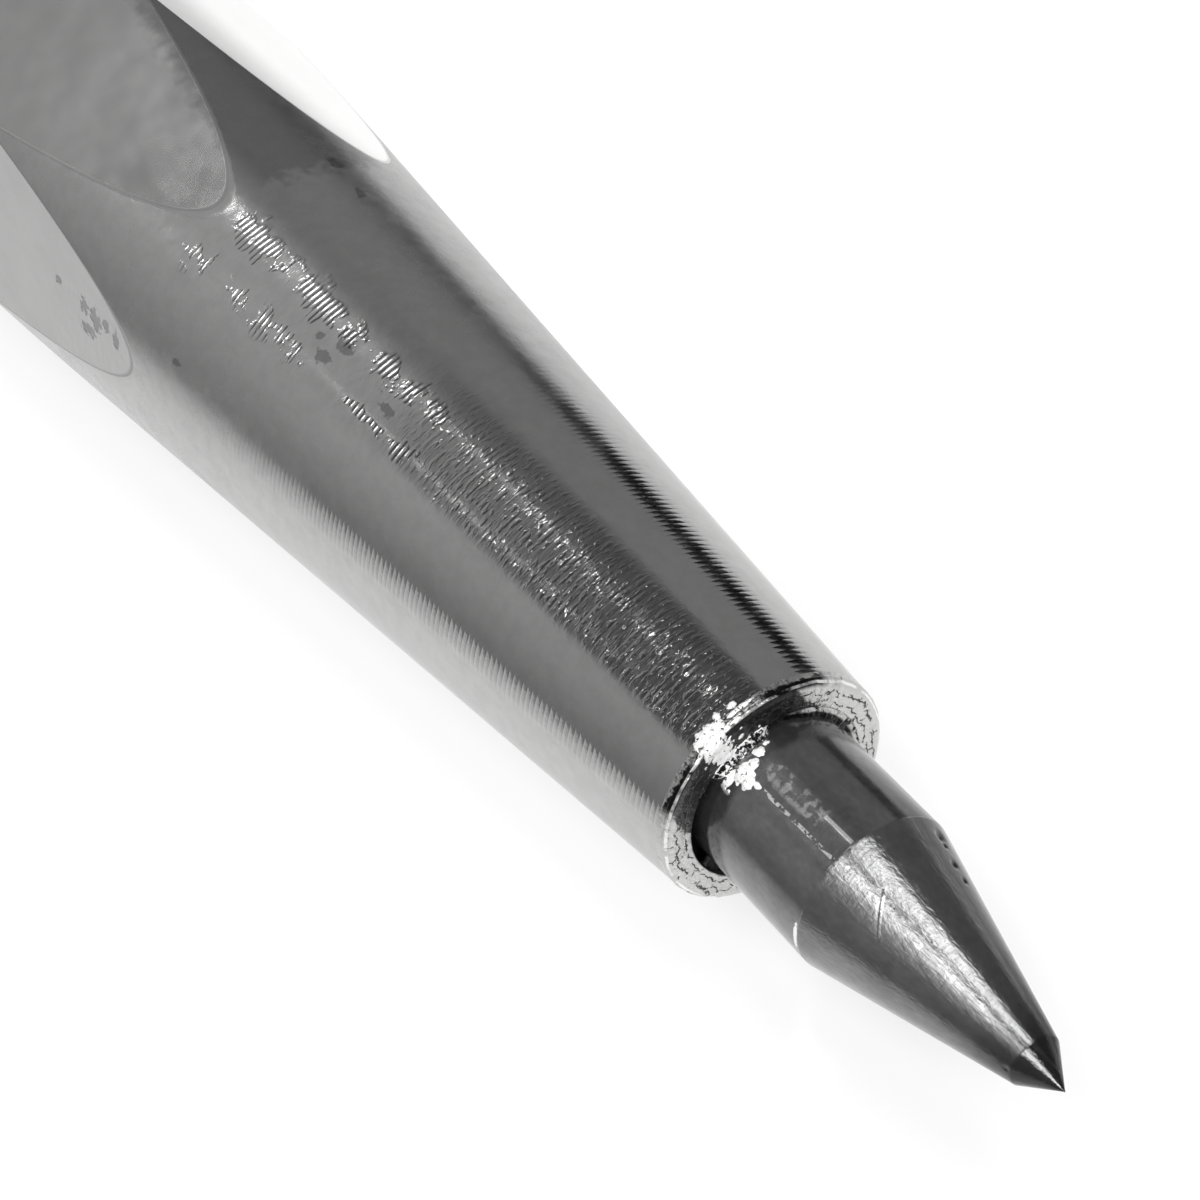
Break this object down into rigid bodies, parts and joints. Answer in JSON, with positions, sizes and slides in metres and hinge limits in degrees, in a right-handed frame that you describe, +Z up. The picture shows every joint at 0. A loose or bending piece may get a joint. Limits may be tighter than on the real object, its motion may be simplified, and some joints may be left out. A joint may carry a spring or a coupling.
{
  "type": "carbide scriber",
  "caption": "Pen-shaped scriber: a carbide point brazed into the tapered nose of a plated hexagonal bar, with a sprung pocket clip and a knurled magnet cap.",
  "frame": {"origin": "on the resting flat of the bar, half way along the tool", "axes": "+X along the tool towards its point, +Z up from the resting flat through the pocket clip, +Y across"},
  "size_m": [0.1428, 0.008, 0.0095],
  "materials": {
    "plated_bar": "bright nickel plate over fine turning rings",
    "carbide": "dark ground and lapped carbide",
    "braze": "bright solidified silver braze",
    "spring_steel": "satin nickel-plated spring steel",
    "plated_cap": "bright nickel plate, straight knurl",
    "magnet": "dull cast magnet face"
  },
  "bodies": {
    "barrel": {"hex_barrel": "plated_bar", "carbide_tip": "carbide", "braze_fillet": "braze", "clip_eye": "spring_steel", "spring_washer": "spring_steel"},
    "clip": {"clip_arm": "spring_steel"},
    "cap": {"end_cap": "plated_cap", "cap_magnet": "magnet"}
  },
  "joints": [
    {"name": "clip_flex", "type": "hinge", "parent": "barrel", "child": "clip", "pos_m": [-0.05621, 0, 0.0073], "axis": [0, -1, 0], "range_deg": [0, 6], "stiffness_Nm_per_rad": 1.5},
    {"name": "cap_unscrew", "type": "slide", "parent": "barrel", "child": "cap", "axis": [-1, 0, 0], "range_m": [0, 0.0075]}
  ]
}
